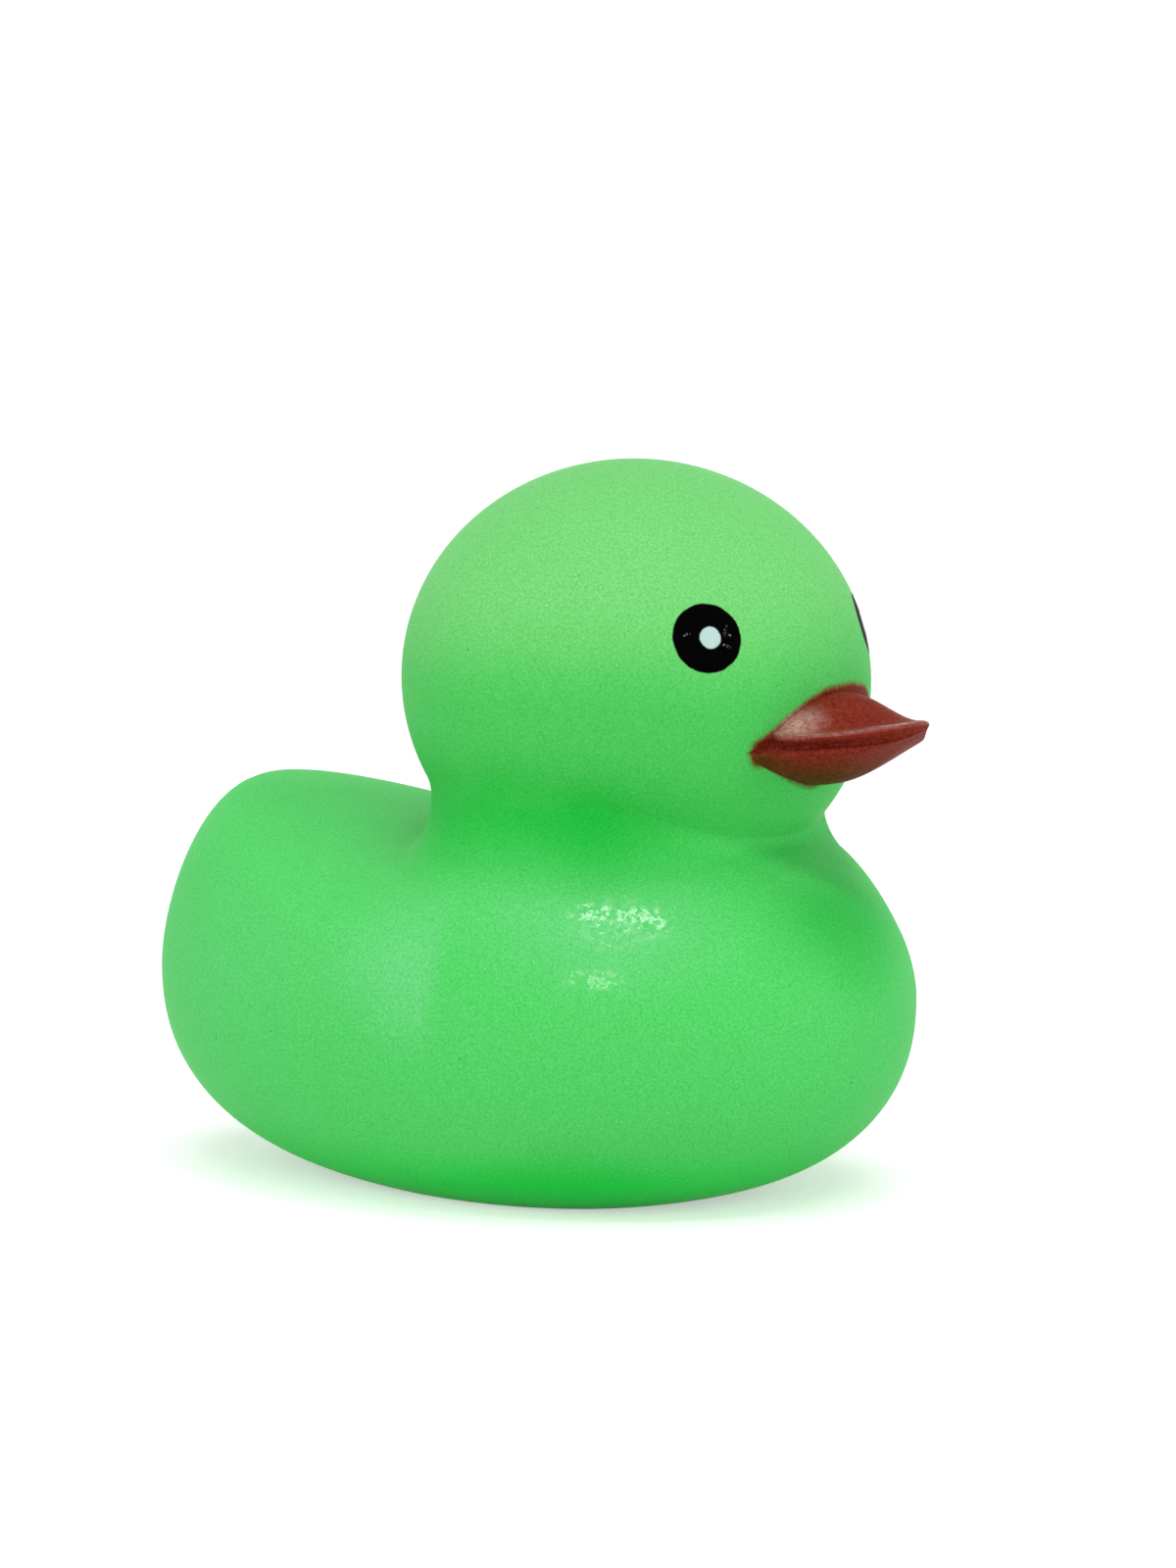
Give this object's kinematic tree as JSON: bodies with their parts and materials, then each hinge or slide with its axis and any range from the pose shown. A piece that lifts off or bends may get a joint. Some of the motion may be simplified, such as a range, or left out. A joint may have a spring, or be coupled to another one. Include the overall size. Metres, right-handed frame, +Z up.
{
  "type": "rubber duck",
  "caption": "Rubber duck: hollow green vinyl body with a round head, a red-brown bill and a squeaker in its flat base.",
  "frame": {"origin": "centre of the duck's outline in plan, on the plane of its flat base", "axes": "+X out of the bill, the way the duck looks; +Y to its left; +Z up out of the head"},
  "size_m": [0.0633, 0.042, 0.0512],
  "materials": {
    "green_vinyl": "satin soft vinyl; black and white printed eyes and a red-brown sprayed bill",
    "white_plastic": "moulded polyethylene, slightly glossy",
    "holder_plastic": "moulded polyethylene, matte",
    "reed_film": "thin translucent film"
  },
  "bodies": {
    "root": {"duck_body": "green_vinyl", "squeaker_housing": "white_plastic", "squeaker_reed_holder": "holder_plastic", "squeaker_reed": "reed_film"}
  },
  "joints": []
}
